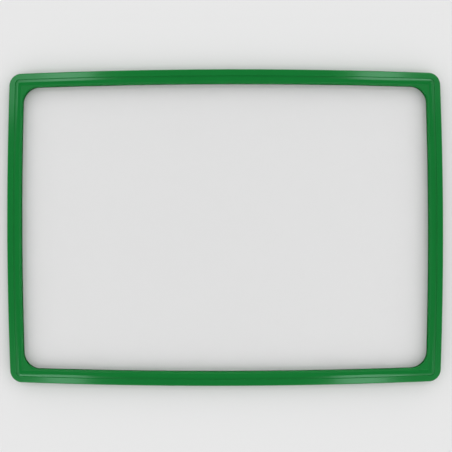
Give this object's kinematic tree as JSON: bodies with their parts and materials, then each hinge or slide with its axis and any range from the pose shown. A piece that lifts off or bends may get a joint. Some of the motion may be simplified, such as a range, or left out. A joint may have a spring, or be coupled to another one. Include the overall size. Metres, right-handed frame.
{
  "type": "poster frame",
  "caption": "Slim green moulded poster frame with rounded corners and a raised outer band, empty; its clear pocket slides out of one short side.",
  "frame": {"origin": "under the middle of the frame, on the plane of the rear face that it lies on", "axes": "+X along the long side towards the insertion slot, +Y along the short side, +Z out of the front face"},
  "size_m": [0.437, 0.313, 0.01],
  "materials": {
    "green_plastic": "moulded, satin gloss",
    "clear_film": "clear film, very lightly frosted against glare"
  },
  "bodies": {
    "frame": {"front_frame": "green_plastic", "rear_frame": "green_plastic"},
    "pocket": {"clear_pocket": "clear_film"}
  },
  "joints": [
    {"name": "pocket_slide", "type": "slide", "parent": "frame", "child": "pocket", "axis": [1, 0, 0], "range_m": [0, 0.43]}
  ]
}
